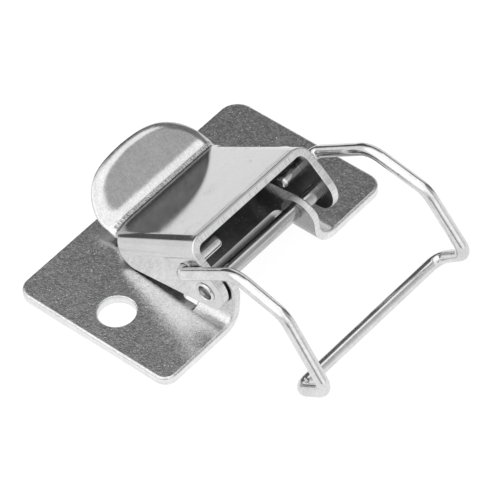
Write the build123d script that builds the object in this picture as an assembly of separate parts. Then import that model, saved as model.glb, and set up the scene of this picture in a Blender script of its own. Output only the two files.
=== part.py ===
from build123d import *
import math
import os

# Over centre toggle latch in stainless sheet and wire.
# Units are millimetres.
# Frame: +X is the pull direction, from the plate towards the bail's hook.
#        +Y is along the hinge axis and the plate's long side.
#        +Z is up, away from the surface that the plate is fixed to.
# Origin: centre of the base plate's underside, midway between its two fixing holes.
# The latch is shown closed, with the lever folded down and the bail lying forward.

# ---------------------------------------------------------------- base plate
PLATE_LENGTH = 55.0          # along Y
PLATE_WIDTH = 33.0           # along X
SHEET = 1.5                  # sheet thickness of plate and lever
# Corner radii at (-X, -Y), (+X, -Y), (+X, +Y) and (-X, +Y).
PLATE_CORNERS = [2.8, 2.3, 3.0, 3.5]
HOLE_SPACING = 42.0          # fixing holes, M6 clearance
HOLE_D = 6.4
EDGE_ROLL = 0.45             # rolled-over edge on the punched side of the sheet
HOLE_ROLL = 0.28             # the same at the fixing holes
NOTCH_REAR_X = 5.9           # rear edge of the notch between the ears
RELIEF_Y = 12.1              # the notch reaches this far out behind the ears
RELIEF_R = 1.3
EAR_REAR_X = 9.35
EAR_FRONT_X = PLATE_WIDTH / 2
EAR_TOP_Z = 9.3
EAR_REAR_R = 3.45            # top corners of an ear, rear and front
EAR_FRONT_R = 3.4
# Each ear's own values at -Y and at +Y: they were bent separately and differ a little.
EAR_BEND_R = (2.5, 3.65)     # inside radius of the bend from wing to ear, on the wing's side
EAR_FACE_Y = (10.95, 11.1)   # where that bend meets the ear's outer face
EAR_LEAN = (8.0, 0.0)        # inward lean, in degrees
EAR_BEND_Y = tuple(f + r * math.cos(math.radians(a)) for f, r, a in zip(EAR_FACE_Y, EAR_BEND_R, EAR_LEAN))

# ---------------------------------------------------------------- hinge pin
PIVOT_X, PIVOT_Z = 12.35, 7.12
PIN_R = 1.3
EAR_HOLE_R = PIN_R + 0.08    # running fit
LEVER_PIN_HOLE_R = PIN_R + 0.03
PIN_HEAD_R = 2.0
PIN_HEAD_T = 0.55            # factory head, at +Y
PIN_FLARE_R = 1.85           # flared end, at -Y
PIN_FLARE_T = 0.34
PIN_RECESS_R = 1.34
PIN_RECESS_DEPTH = 1.5

# ---------------------------------------------------------------- lever
LEVER_SHIFT = 1.95           # side play: the lever lies this far along +Y
LEVER_INNER = 13.1           # half the width between its flanges
LEVER_OUTER = LEVER_INNER + SHEET
LEVER_BEND_R = 3.0           # outside radius between web and flange
WEB_ANGLE = 31.2             # slope of the web
WEB_Z0 = 10.45               # height of the web's top face at X = 0
CREASE_X = -10.2             # fold between web and thumb tab
LIP_X = 9.15                 # front end of the web's top face
FLANGE_LOW_A = (-3.5, 1.76)  # the flange's bottom edge runs from here to the nose
# Rear edge of the flange: (distance along the web from the crease, depth below the web's top).
REAR_STEPS = [(0.9, 1.6), (1.5, 2.2), (2.2, 2.5), (2.83, 2.72)]
# Rear lower corner of the flange, in XZ, down to FLANGE_LOW_A.
REAR_CORNER = [(-6.0, 2.93), (-5.45, 2.4), (-4.6, 1.95)]
# Plan of the bend's rear end at -Y and at +Y: (distance along the web, half width).
BEND_START_L = [(0.95, 12.32), (1.45, 12.62), (1.85, 13.15), (2.11, 13.66), (2.45, 14.14), (2.8, 14.46),
                (3.15, 14.98)]
BEND_START_R = [(0.95, 13.32), (1.45, 13.42), (1.85, 13.6), (2.11, 13.86), (2.45, 14.2), (2.8, 14.5),
                (3.15, 14.98)]
NOSE_C = (12.33, 7.32)       # rounded front end of the flange
NOSE_R = 3.65
FRONT_EDGE = (10.35, 14.35)  # where the flange's front edge meets the web's lip
TAB_LENGTH = 10.4
TAB_SHIFT = 0.9              # the tab was cut this far off the lever's middle
TAB_RISE = 31.0              # slope of the thumb tab towards the rear
TAB_FOOT_RISE = 5.0          # slope right beside the crease
TAB_FOOT_R = 7.6             # top radius from that slope to the tab's own
TAB_CORNERS = [(0.0, 12.62), (1.0, 12.7), (2.0, 12.7), (3.0, 12.56), (4.0, 12.28), (5.0, 11.86), (6.0, 11.28),
               (7.0, 10.51), (8.0, 9.46), (8.7, 8.48), (9.3, 7.3), (9.75, 5.95), (10.05, 4.4)]

# ---------------------------------------------------------------- wire bail
WIRE_R = 1.1
BAIL_HOLE_R = WIRE_R + 0.08  # running fit in the flanges
BAIL_X, BAIL_Z = 8.32, 9.9   # where the bail passes through the flanges
# The bail has side play and lies with its leg at -Y against the flange.
BAIL_LEG_Y = (-13.95, 20.05) # middle of the wire where each leg starts
BAIL_END_Y = (-4.6, 10.9)    # ends of the wire, inside the lever
# Corners of each leg, bent by hand and not quite alike.
BAIL_LEFT = [(20.8, -14.25, 18.5), (31.41, -14.85, 16.44), (39.7, -15.3, 4.8), (33.65, -15.5, WIRE_R)]
BAIL_RIGHT = [(20.17, 20.0, 17.95), (31.91, 19.9, 15.67), (39.7, 19.85, 5.85), (33.85, 19.85, WIRE_R)]
BAIL_RADII = [6.0, 4.0, 1.8]  # bends of a leg
BAIL_STUB_R = 1.5            # bends into the stubs
BAIL_TURN_R = 2.2            # bends into the crossbar


def unit(dx, dz):
    n = math.hypot(dx, dz)
    return dx / n, dz / n


def sheet_roll(part, edges, radius=EDGE_ROLL):
    """Rounds sheet edges one at a time where that succeeds."""
    try:
        return fillet(edges, radius)
    except Exception:
        print("roll not made on", len(edges), "edges")
        return part


# ================================================================ base plate
# Flat plate with rounded corners.
outline = make_face(
    Polyline(
        (-PLATE_WIDTH / 2, -PLATE_LENGTH / 2), (PLATE_WIDTH / 2, -PLATE_LENGTH / 2),
        (PLATE_WIDTH / 2, PLATE_LENGTH / 2), (-PLATE_WIDTH / 2, PLATE_LENGTH / 2),
        (-PLATE_WIDTH / 2, -PLATE_LENGTH / 2),
    )
)
for (sx, sy), radius in zip(((-1, -1), (1, -1), (1, 1), (-1, 1)), PLATE_CORNERS):
    corner = outline.vertices().sort_by_distance((sx * PLATE_WIDTH / 2, sy * PLATE_LENGTH / 2, 0))[0]
    outline = fillet(corner, radius)
plate = extrude(outline, SHEET)

# Notch between the ears, with its relief reaching out behind each ear.
notch_front = PLATE_WIDTH / 2 + 2
bend_left, bend_right = EAR_BEND_Y
notch = make_face(
    Polyline(
        (NOTCH_REAR_X, -RELIEF_Y), (NOTCH_REAR_X, RELIEF_Y), (EAR_REAR_X, RELIEF_Y),
        (EAR_REAR_X, bend_right), (notch_front, bend_right), (notch_front, -bend_left),
        (EAR_REAR_X, -bend_left), (EAR_REAR_X, -RELIEF_Y), (NOTCH_REAR_X, -RELIEF_Y),
    )
)
notch = fillet(
    notch.vertices().filter_by_position(Axis.X, NOTCH_REAR_X - 0.01, NOTCH_REAR_X + 0.01),
    RELIEF_R,
)
plate = plate - extrude(notch, SHEET * 3).translate((0, 0, -SHEET))

# Fixing holes.
for s in (-1, 1):
    plate -= Pos(0, s * HOLE_SPACING / 2, SHEET / 2) * Cylinder(HOLE_D / 2, SHEET * 3)

# Rolled-over upper edges, round the outline and at the holes.
rolls = []
for e in plate.edges():
    c = e.center()
    if abs(c.Z - SHEET) > 1e-3:
        continue
    hole = abs(abs(c.Y) - HOLE_SPACING / 2) < 3.5 and abs(c.X) < 3.5
    outer = abs(abs(c.X) - PLATE_WIDTH / 2) < 1.5 or abs(abs(c.Y) - PLATE_LENGTH / 2) < 1.5
    if hole:
        continue
    if (outer and abs(c.Y) > bend_left + 1) or abs(c.X + PLATE_WIDTH / 2) < 0.01:
        rolls.append(e)
plate = sheet_roll(plate, rolls)
hole_rolls = [
    e for e in plate.edges()
    if abs(e.center().Z - SHEET) < 1e-3 and abs(abs(e.center().Y) - HOLE_SPACING / 2) < 3.5 and abs(e.center().X) < 3.5
]
plate = sheet_roll(plate, hole_rolls, HOLE_ROLL)


def ear(side, lean, ri, bend_y):
    """One ear: the sheet turns up from the wing and stands as a rounded tab."""
    a = math.radians(lean)
    ro = ri + SHEET
    cz = SHEET + ri
    top = EAR_TOP_Z + 2.0
    # Section in YZ: bend, then a straight stretch that may lean inwards.
    ux, uz = -math.sin(a), math.cos(a)
    inner_tan = (bend_y - ri * math.cos(a), cz - ri * math.sin(a))
    outer_tan = (bend_y - ro * math.cos(a), cz - ro * math.sin(a))
    mid = math.radians(-90) - (math.radians(90) - a) / 2
    inner_mid = (bend_y + ri * math.cos(mid), cz + ri * math.sin(mid))
    outer_mid = (bend_y + ro * math.cos(mid), cz + ro * math.sin(mid))
    rise = top - cz
    inner_top = (inner_tan[0] + ux * rise, inner_tan[1] + uz * rise)
    outer_top = (outer_tan[0] + ux * rise, outer_tan[1] + uz * rise)
    start_in = (bend_y, SHEET)
    start_out = (bend_y, 0.0)

    def p(q):
        return (0.0, side * q[0], q[1])

    section = make_face(
        [
            ThreePointArc(p(start_in), p(inner_mid), p(inner_tan)),
            Line(p(inner_tan), p(inner_top)),
            Line(p(inner_top), p(outer_top)),
            Line(p(outer_top), p(outer_tan)),
            ThreePointArc(p(outer_tan), p(outer_mid), p(start_out)),
            Line(p(start_out), p(start_in)),
        ]
    )
    body = extrude(section, EAR_FRONT_X - EAR_REAR_X, dir=(1, 0, 0)).translate((EAR_REAR_X, 0, 0))
    # Outline in XZ: rounded top corners.
    outline = Plane.XZ * make_face(
        Polyline(
            (EAR_REAR_X, -1), (EAR_REAR_X, EAR_TOP_Z), (EAR_FRONT_X, EAR_TOP_Z),
            (EAR_FRONT_X, -1), (EAR_REAR_X, -1),
        )
    )
    tops = outline.vertices().filter_by_position(Axis.Z, EAR_TOP_Z - 0.01, EAR_TOP_Z + 0.01)
    outline = fillet(tops.sort_by(Axis.X)[0], EAR_REAR_R)
    tops = outline.vertices().filter_by_position(Axis.Z, EAR_TOP_Z - 0.01, EAR_TOP_Z + 0.01)
    outline = fillet(tops.sort_by(Axis.X)[-1], EAR_FRONT_R)
    cutter = extrude(outline, 20, both=True)
    body = body & cutter
    # Rolled edge round the ear's outer face, from the bend up and over.
    rolls = []
    for e in body.edges():
        c = e.center()
        y = side * c.Y
        face_y = inner_tan[0] - (c.Z - inner_tan[1]) * math.tan(a)
        on_skin = abs(y - face_y) < 0.02 and c.Z > inner_tan[1] + 0.2
        on_bend = e.geom_type == GeomType.CIRCLE and c.Z < inner_tan[1] + 0.2 \
            and abs(math.hypot(y - bend_y, c.Z - cz) - 0.9 * ri) < 0.12 * ri
        if on_skin or on_bend:
            if abs(c.Z - inner_tan[1]) > 0.05 or abs(c.X - (EAR_REAR_X + EAR_FRONT_X) / 2) > 1:
                rolls.append(e)
    body = sheet_roll(body, rolls)
    body -= Pos(PIVOT_X, side * 11, PIVOT_Z) * Rot(90, 0, 0) * Cylinder(EAR_HOLE_R, 12)
    return body


base_plate = (
    plate
    + ear(-1, EAR_LEAN[0], EAR_BEND_R[0], bend_left)
    + ear(1, EAR_LEAN[1], EAR_BEND_R[1], bend_right)
)
base_plate = base_plate.solids()[0] if len(base_plate.solids()) == 1 else base_plate

# ================================================================ lever
# The web and its two flanges are one channel, running along the web's slope.
wa = math.radians(WEB_ANGLE)
web_dir = (math.cos(wa), math.sin(wa))           # along the web, in XZ
web_up = (-math.sin(wa), math.cos(wa))           # out of its top face
crease = (CREASE_X, WEB_Z0 + math.tan(wa) * CREASE_X)
lip = (LIP_X, WEB_Z0 + math.tan(wa) * LIP_X)
web_plane = Plane(
    origin=(crease[0], LEVER_SHIFT, crease[1]),
    x_dir=(0, 1, 0),
    z_dir=(web_dir[0], 0, web_dir[1]),
)
if web_plane.y_dir.Z < 0:
    web_plane = Plane(origin=web_plane.origin, x_dir=(0, -1, 0), z_dir=(web_dir[0], 0, web_dir[1]))


def channel_section(outer, radius, depth):
    lo, ro = -depth, radius
    k = math.sqrt(0.5)
    pts = [
        Line((-outer, lo), (-outer, -ro)),
        ThreePointArc((-outer, -ro), (-outer + ro * (1 - k), -ro * (1 - k)), (-outer + ro, 0)),
        Line((-outer + ro, 0), (outer - ro, 0)),
        ThreePointArc((outer - ro, 0), (outer - ro * (1 - k), -ro * (1 - k)), (outer, -ro)),
        Line((outer, -ro), (outer, lo)),
        Line((outer, lo), (-outer, lo)),
    ]
    return make_face(pts)


outer_c = extrude(web_plane * channel_section(LEVER_OUTER, LEVER_BEND_R, 26.0), 60, both=True)
inner_c = extrude(
    web_plane * (Pos(0, -SHEET) * channel_section(LEVER_INNER, LEVER_BEND_R - SHEET, 28.0)), 62, both=True
)
channel = outer_c - inner_c

# Side outline of the lever, in XZ.
def tangent_point(c, r, p, sign):
    """Point where a line from p touches the circle c, r; sign picks the side."""
    dx, dz = p[0] - c[0], p[1] - c[1]
    d = math.hypot(dx, dz)
    base = math.atan2(dz, dx)
    off = math.acos(r / d)
    t = base + sign * off
    return c[0] + r * math.cos(t), c[1] + r * math.sin(t)


nose_low = tangent_point(NOSE_C, NOSE_R, FLANGE_LOW_A, 1)
nose_high = tangent_point(NOSE_C, NOSE_R, FRONT_EDGE, -1)
nose_mid = (NOSE_C[0] + NOSE_R * math.cos(math.radians(-20)), NOSE_C[1] + NOSE_R * math.sin(math.radians(-20)))
low_slope = unit(nose_low[0] - FLANGE_LOW_A[0], nose_low[1] - FLANGE_LOW_A[1])
web_low_crease = (crease[0] - web_up[0] * SHEET, crease[1] - web_up[1] * SHEET)


def xz(q):
    return (q[0], 0.0, q[1])


def web_point(u, depth):
    """Point in XZ at distance u along the web from the crease, depth below its top face."""
    return (crease[0] + web_dir[0] * u - web_up[0] * depth, crease[1] + web_dir[1] * u - web_up[1] * depth)


above = 6.0
rear_steps = [web_point(u, d) for u, d in REAR_STEPS]
corner_line = Spline(
    *[xz(q) for q in [rear_steps[-1]] + REAR_CORNER + [FLANGE_LOW_A]],
    tangents=[(0.45, 0, -0.89), (low_slope[0], 0, low_slope[1])],
)
outline_top = [
    FRONT_EDGE,
    lip,
    web_point((lip[0] - crease[0]) / web_dir[0], -above),
    web_point(0, -above),
    web_point(0, SHEET + 0.02),
]
side_outline = make_face(
    [
        corner_line,
        Line(xz(FLANGE_LOW_A), xz(nose_low)),
        ThreePointArc(xz(nose_low), xz(nose_mid), xz(nose_high)),
        Line(xz(nose_high), xz(FRONT_EDGE)),
        Polyline(*[xz(q) for q in outline_top + rear_steps]),
    ]
)
side_prism = extrude(side_outline, 40, both=True)

# Plan outline across the web: the flanges start a little forward of the crease.
plan_plane = Plane(
    origin=(crease[0], LEVER_SHIFT, crease[1]),
    x_dir=(web_dir[0], 0, web_dir[1]),
    z_dir=(web_up[0], 0, web_up[1]),
)
# The plane's own Y points to -Y or +Y of the frame; this keeps the two sides apart.
plan_sign = 1 if plan_plane.y_dir.Y > 0 else -1
start_l = [(u, -w * plan_sign) for u, w in BEND_START_L]
start_r = [(u, w * plan_sign) for u, w in BEND_START_R]
far = plan_sign * (LEVER_OUTER + 0.4)
plan = plan_plane * make_face(
    [
        Polyline(start_l[0], (-0.02, start_l[0][1]), (-0.02, start_r[0][1]), start_r[0]),
        Spline(*start_r, tangents=[(1, 0), (1, 1.2 * plan_sign)]),
        Polyline(start_r[-1], (40, far), (40, -far), start_l[-1]),
        Spline(*start_l[::-1], tangents=[(-1, 1.2 * plan_sign), (-1, 0)]),
    ]
)
plan_prism = extrude(plan, 30, both=True)

channel = channel & side_prism & plan_prism

# Thumb tab: turned up at the crease on a hollow foot, with a rounded outline.
rise, foot = math.radians(TAB_RISE), math.radians(TAB_FOOT_RISE)
tab_dir = (-math.cos(rise), math.sin(rise))
tab_up = (math.sin(rise), math.cos(rise))


def tab_skin(angle, depth):
    """Point on the foot's curve where its slope is angle, depth below the top face."""
    x = crease[0] - TAB_FOOT_R * (math.sin(angle) - math.sin(foot)) - depth * math.sin(angle)
    z = crease[1] + TAB_FOOT_R * (math.cos(foot) - math.cos(angle)) - depth * math.cos(angle)
    return x, z


SEAM = 1.1                                        # where the tab's body meets the web's
mid_rise = (rise + foot) / 2
foot_top = tab_skin(rise, 0.0)
foot_low = tab_skin(rise, SHEET)
tip = TAB_LENGTH + 3
seam_top = web_point(SEAM, 0.0)
seam_low = web_point(SEAM, SHEET)
heel_a = tab_skin(foot, SHEET)
heel_b = web_point(0.0, SHEET)
heel_angle = (foot - wa) / 2
heel_m = (crease[0] - SHEET * math.sin(heel_angle), crease[1] - SHEET * math.cos(heel_angle))
tab_section = make_face(
    [
        Line(xz(seam_top), xz(crease)),
        ThreePointArc(xz(crease), xz(tab_skin(mid_rise, 0.0)), xz(foot_top)),
        Line(xz(foot_top), xz((foot_top[0] + tab_dir[0] * tip, foot_top[1] + tab_dir[1] * tip))),
        Line(
            xz((foot_top[0] + tab_dir[0] * tip, foot_top[1] + tab_dir[1] * tip)),
            xz((foot_low[0] + tab_dir[0] * tip, foot_low[1] + tab_dir[1] * tip)),
        ),
        Line(xz((foot_low[0] + tab_dir[0] * tip, foot_low[1] + tab_dir[1] * tip)), xz(foot_low)),
        ThreePointArc(xz(foot_low), xz(tab_skin(mid_rise, SHEET)), xz(heel_a)),
        ThreePointArc(xz(heel_a), xz(heel_m), xz(heel_b)),
        Line(xz(heel_b), xz(seam_low)),
        Line(xz(seam_low), xz(seam_top)),
    ]
)
tab_body = extrude(tab_section, 20, both=True).translate((0, LEVER_SHIFT, 0))
tab_plane = Plane(
    origin=(crease[0], LEVER_SHIFT, crease[1]),
    x_dir=(tab_dir[0], 0, tab_dir[1]),
    z_dir=(tab_up[0], 0, tab_up[1]),
)
tab_sign = 1 if tab_plane.y_dir.Y > 0 else -1
rim_r = [(s, tab_sign * (TAB_SHIFT + w)) for s, w in TAB_CORNERS]
rim_l = [(s, tab_sign * (TAB_SHIFT - w)) for s, w in TAB_CORNERS]
root_r, root_l = tab_sign * BEND_START_R[0][1], -tab_sign * BEND_START_L[0][1]
tab_outline = tab_plane * make_face(
    [
        Spline(*rim_r, (TAB_LENGTH, tab_sign * TAB_SHIFT), *rim_l[::-1], tangents=[(1, 0), (-1, 0)]),
        Spline(rim_l[0], (-0.55, (rim_l[0][1] + root_l) / 2), (-1.1, root_l), tangents=[(-1, 0), (-1, 0)]),
        Polyline((-1.1, root_l), (-3.0, root_l), (-3.0, root_r), (-1.1, root_r)),
        Spline((-1.1, root_r), (-0.55, (rim_r[0][1] + root_r) / 2), rim_r[0], tangents=[(1, 0), (1, 0)]),
    ]
)
tab_body = tab_body & extrude(tab_outline, 8, both=True)
if hasattr(tab_body, "solids"):
    tab_body = tab_body.solids()[0]

# The channel is cut back to the seam, so the two meet face to face.
cut_plane = Plane(
    origin=(seam_top[0], LEVER_SHIFT, seam_top[1]), x_dir=(0, 1, 0), z_dir=(-web_dir[0], 0, -web_dir[1])
)
flat_strip = cut_plane * Rectangle(60, 12)
channel = channel - extrude(flat_strip, 10)
lever = channel + tab_body
lever = lever.clean()

# Holes: hinge pin and bail, through both flanges.
lever -= Pos(PIVOT_X, LEVER_SHIFT, PIVOT_Z) * Rot(90, 0, 0) * Cylinder(LEVER_PIN_HOLE_R, 60)
lever -= Pos(BAIL_X, LEVER_SHIFT, BAIL_Z) * Rot(90, 0, 0) * Cylinder(BAIL_HOLE_R, 60)
if len(lever.solids()) == 1:
    lever = lever.solids()[0]

# ================================================================ hinge pin
left_face = LEVER_SHIFT - LEVER_OUTER
right_face = LEVER_SHIFT + LEVER_OUTER
pin_profile = make_face(
    Polyline(
        (0, left_face + PIN_RECESS_DEPTH),
        (0.75, left_face + PIN_RECESS_DEPTH - 0.1),
        (0.98, left_face + 0.75),
        (PIN_RECESS_R, left_face - PIN_FLARE_T + 0.12),
        (PIN_RECESS_R + 0.12, left_face - PIN_FLARE_T),
        (PIN_FLARE_R - 0.14, left_face - PIN_FLARE_T + 0.06),
        (PIN_FLARE_R, left_face - 0.12),
        (PIN_FLARE_R - 0.05, left_face),
        (PIN_R, left_face),
        (PIN_R, right_face),
        (PIN_HEAD_R, right_face),
        (PIN_HEAD_R, right_face + PIN_HEAD_T - 0.3),
        (PIN_HEAD_R - 0.35, right_face + PIN_HEAD_T - 0.08),
        (PIN_HEAD_R - 0.9, right_face + PIN_HEAD_T),
        (0, right_face + PIN_HEAD_T),
        (0, left_face + PIN_RECESS_DEPTH),
    )
)
pivot_pin = revolve(pin_profile, Axis.Y, 360)
pivot_pin = pivot_pin.translate((PIVOT_X, 0, PIVOT_Z))

# ================================================================ wire bail
(ya, yb), (end_a, end_b) = BAIL_LEG_Y, BAIL_END_Y
wire_points = (
    [(BAIL_X, end_a, BAIL_Z), (BAIL_X, ya, BAIL_Z)] + BAIL_LEFT
    + BAIL_RIGHT[::-1] + [(BAIL_X, yb, BAIL_Z), (BAIL_X, end_b, BAIL_Z)]
)
wire_radii = [BAIL_STUB_R] + BAIL_RADII + [BAIL_TURN_R, BAIL_TURN_R] + BAIL_RADII[::-1] + [BAIL_STUB_R]
wire_path = FilletPolyline(*wire_points, radius=wire_radii)
wire_section = Plane(origin=wire_points[0], z_dir=(0, -1, 0)) * Circle(WIRE_R)
wire_bail = sweep(wire_section, path=wire_path, transition=Transition.RIGHT)
ends = [
    e for e in wire_bail.edges().filter_by(GeomType.CIRCLE)
    if min(abs(e.center().Y - end_a), abs(e.center().Y - end_b)) < 1e-3
]
try:
    wire_bail = fillet(ends, 0.7)
except Exception:
    print("wire ends left square")

# ================================================================ output
os.makedirs("parts", exist_ok=True)
NODES = {
    "base_plate": base_plate,
    "lever": lever,
    "pivot_pin": pivot_pin,
    "wire_bail": wire_bail,
}
for name, shape in NODES.items():
    print(name, "solids", len(shape.solids()), "volume", round(shape.volume, 2), "valid", shape.is_valid)
    export_step(shape, "parts/" + name + ".step")
print("wire length", round(wire_path.length, 2), "wire volume by length", round(wire_path.length * math.pi * WIRE_R ** 2, 2))
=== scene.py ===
import math

import bpy
import numpy as np
from mathutils import Matrix, Vector
from mathutils.geometry import delaunay_2d_cdt


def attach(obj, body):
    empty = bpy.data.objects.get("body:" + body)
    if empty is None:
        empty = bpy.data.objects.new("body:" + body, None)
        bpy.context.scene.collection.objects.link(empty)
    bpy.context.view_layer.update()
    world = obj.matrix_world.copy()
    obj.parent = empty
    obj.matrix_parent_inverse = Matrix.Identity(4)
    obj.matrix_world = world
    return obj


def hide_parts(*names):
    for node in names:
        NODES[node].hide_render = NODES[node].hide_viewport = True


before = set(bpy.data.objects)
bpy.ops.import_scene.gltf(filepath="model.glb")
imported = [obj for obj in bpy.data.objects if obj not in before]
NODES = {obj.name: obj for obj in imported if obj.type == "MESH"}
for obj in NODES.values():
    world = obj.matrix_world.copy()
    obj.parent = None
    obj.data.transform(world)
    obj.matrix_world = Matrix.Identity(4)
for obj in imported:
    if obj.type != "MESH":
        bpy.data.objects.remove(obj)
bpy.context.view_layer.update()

MM = 0.001

# ------------------------------------------------------------------ camera
# Long lens, looking down at about 47 degrees past the latch's front left corner.
scene = bpy.context.scene
right = Vector((0.7580589, 0.6489002, -0.065385))
down = Vector((0.4456456, -0.5885789, -0.6745182))
forward = Vector((-0.4761792, 0.4821861, -0.735357))
position = Vector((288.1154902, -282.9707385, 437.5483677)) * MM
cam_data = bpy.data.cameras.new("camera")
cam_data.sensor_fit = "HORIZONTAL"
cam_data.sensor_width = 36.0
cam_data.lens = 271.314
cam_data.clip_start = 0.01
cam_data.clip_end = 20.0
camera = bpy.data.objects.new("camera", cam_data)
scene.collection.objects.link(camera)
basis = Matrix((right, -down, -forward)).transposed()
camera.matrix_world = Matrix.Translation(position) @ basis.to_4x4()
scene.camera = camera
scene.view_settings.view_transform = "Standard"
scene.view_settings.look = "None"


# ------------------------------------------------------------------ lever
# The lever is one blank of 1.5 mm sheet, laid out flat and then folded. All lengths here are millimetres.
# a runs along the web from the crease (a < 0 is the thumb tab), b runs across the outer skin.
SHEET = 1.5
MIDDLE = 1.95
HALF_FLAT = 11.6             # flat half width of the web, up to the bends
BEND_R = 3.0
BEND_LEN = BEND_R * math.pi / 2
WEB = math.radians(31.2)
CREASE = np.array((-10.2, 4.273))
CREASE_R = 0.15
FOOT, RISE, FOOT_R = math.radians(5.0), math.radians(31.0), 7.6
TAB_SHIFT = 0.9
TAB_END = 10.45
CREASE_HALF = CREASE_R * (WEB + FOOT) / 2
TAU = CREASE_R * math.tan((WEB + FOOT) / 2)
FOOT_LEN = FOOT_R * (RISE - FOOT)
WEB_DIR = np.array((math.cos(WEB), math.sin(WEB)))
WEB_UP = np.array((-math.sin(WEB), math.cos(WEB)))


def normal_xz(psi):
    return np.stack((np.sin(psi), np.cos(psi)), -1)


def top_line(a):
    """Point and normal in XZ of the blank's top skin at distance a along its middle."""
    a = np.asarray(a, float)
    psi = np.full(a.shape, -WEB)
    arc = np.clip((CREASE_HALF - a) / (2 * CREASE_HALF), 0, 1)
    psi = psi + arc * (WEB + FOOT)
    foot = np.clip((-CREASE_HALF - a) / FOOT_LEN, 0, 1)
    psi = psi + foot * (RISE - FOOT)
    n = normal_xz(psi)
    centre = CREASE + WEB_DIR * TAU + WEB_UP * CREASE_R
    p = np.where(
        (a > CREASE_HALF)[..., None],
        CREASE + WEB_DIR * (a - CREASE_HALF + TAU)[..., None],
        centre - normal_xz(np.maximum(psi, -WEB)) * CREASE_R,
    )
    start = centre - normal_xz(np.array(FOOT)) * CREASE_R
    foot_centre = start + normal_xz(np.array(FOOT)) * FOOT_R
    on_foot = foot_centre - n * FOOT_R
    p = np.where((a < -CREASE_HALF)[..., None], on_foot, p)
    end = foot_centre - normal_xz(np.array(RISE)) * FOOT_R
    along = np.array((-math.cos(RISE), math.sin(RISE)))
    straight = end + along * (-CREASE_HALF - FOOT_LEN - a)[..., None]
    p = np.where((a < -CREASE_HALF - FOOT_LEN)[..., None], straight, p)
    return p, n


def fold(a, b, t):
    """Blank coordinates and depth below the outer skin to the frame's XYZ, in millimetres."""
    a, b, t = np.broadcast_arrays(np.asarray(a, float), np.asarray(b, float), np.asarray(t, float))
    side, w = np.sign(b), np.abs(b)
    phi = np.clip((w - HALF_FLAT) / BEND_R, 0, math.pi / 2)
    beyond = np.maximum(w - HALF_FLAT - BEND_LEN, 0)
    y = np.minimum(w, HALF_FLAT) + (BEND_R - t) * np.sin(phi)
    depth = t + (BEND_R - t) * (1 - np.cos(phi)) + beyond
    k = np.clip(a / 1.6, 0, 1)
    k = k * k * (3 - 2 * k)
    y = w * (1 - k) + y * k
    depth = t * (1 - k) + depth * k
    p, n = top_line(a)
    xz = p - n * depth[..., None]
    return np.stack((xz[..., 0], MIDDLE + side * y, xz[..., 1]), -1)


def frame_at(a, b, t, drop):
    """Unit vectors of the skin along a, along b and outward, at depth t + drop(a, b)."""
    h = 2e-4
    pa = fold(a + h, b, t + drop(a + h, b)) - fold(a - h, b, t + drop(a - h, b))
    pb = fold(a, b + h, t + drop(a, b + h)) - fold(a, b - h, t + drop(a, b - h))
    pa /= np.linalg.norm(pa, axis=-1, keepdims=True)
    pb /= np.linalg.norm(pb, axis=-1, keepdims=True)
    n = np.cross(pa, pb)
    n /= np.linalg.norm(n, axis=-1, keepdims=True)
    return pa, pb, n


def curve_through(points, step=0.3):
    """Smooth polyline through points (centripetal Catmull-Rom)."""
    p = [np.array(q, float) for q in points]
    p = [2 * p[0] - p[1]] + p + [2 * p[-1] - p[-2]]
    out = []
    for i in range(1, len(p) - 2):
        q0, q1, q2, q3 = p[i - 1:i + 3]
        t0 = 0.0
        t1 = t0 + max(np.linalg.norm(q1 - q0), 1e-6) ** 0.5
        t2 = t1 + max(np.linalg.norm(q2 - q1), 1e-6) ** 0.5
        t3 = t2 + max(np.linalg.norm(q3 - q2), 1e-6) ** 0.5
        n = max(2, int(math.ceil(np.linalg.norm(q2 - q1) / step)))
        for k in range(n):
            t = t1 + (t2 - t1) * k / n
            a1 = (t1 - t) / (t1 - t0) * q0 + (t - t0) / (t1 - t0) * q1
            a2 = (t2 - t) / (t2 - t1) * q1 + (t - t1) / (t2 - t1) * q2
            a3 = (t3 - t) / (t3 - t2) * q2 + (t - t2) / (t3 - t2) * q3
            b1 = (t2 - t) / (t2 - t0) * a1 + (t - t0) / (t2 - t0) * a2
            b2 = (t3 - t) / (t3 - t1) * a2 + (t - t1) / (t3 - t1) * a3
            out.append((t2 - t) / (t2 - t1) * b1 + (t - t1) / (t2 - t1) * b2)
    out.append(np.array(points[-1], float))
    return out


def run(p, q, step=0.45):
    n = max(1, int(math.ceil(math.dist(p, q) / step)))
    return [np.array(p, float) + (np.array(q, float) - np.array(p, float)) * k / n for k in range(n)]


def to_blank(x, z):
    """XZ of a flange point to blank coordinates (a, |b|)."""
    dx, dz = x - CREASE[0], z - CREASE[1]
    a = dx * WEB_DIR[0] + dz * WEB_DIR[1]
    depth = -(dx * WEB_UP[0] + dz * WEB_UP[1])
    if depth < BEND_R:
        return a, HALF_FLAT + BEND_R * math.acos(1 - depth / BEND_R)
    return a, HALF_FLAT + BEND_LEN + depth - BEND_R


def tangent(c, r, p, sign):
    d = math.dist(c, p)
    t = math.atan2(p[1] - c[1], p[0] - c[0]) + sign * math.acos(r / d)
    return c[0] + r * math.cos(t), c[1] + r * math.sin(t)


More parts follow.
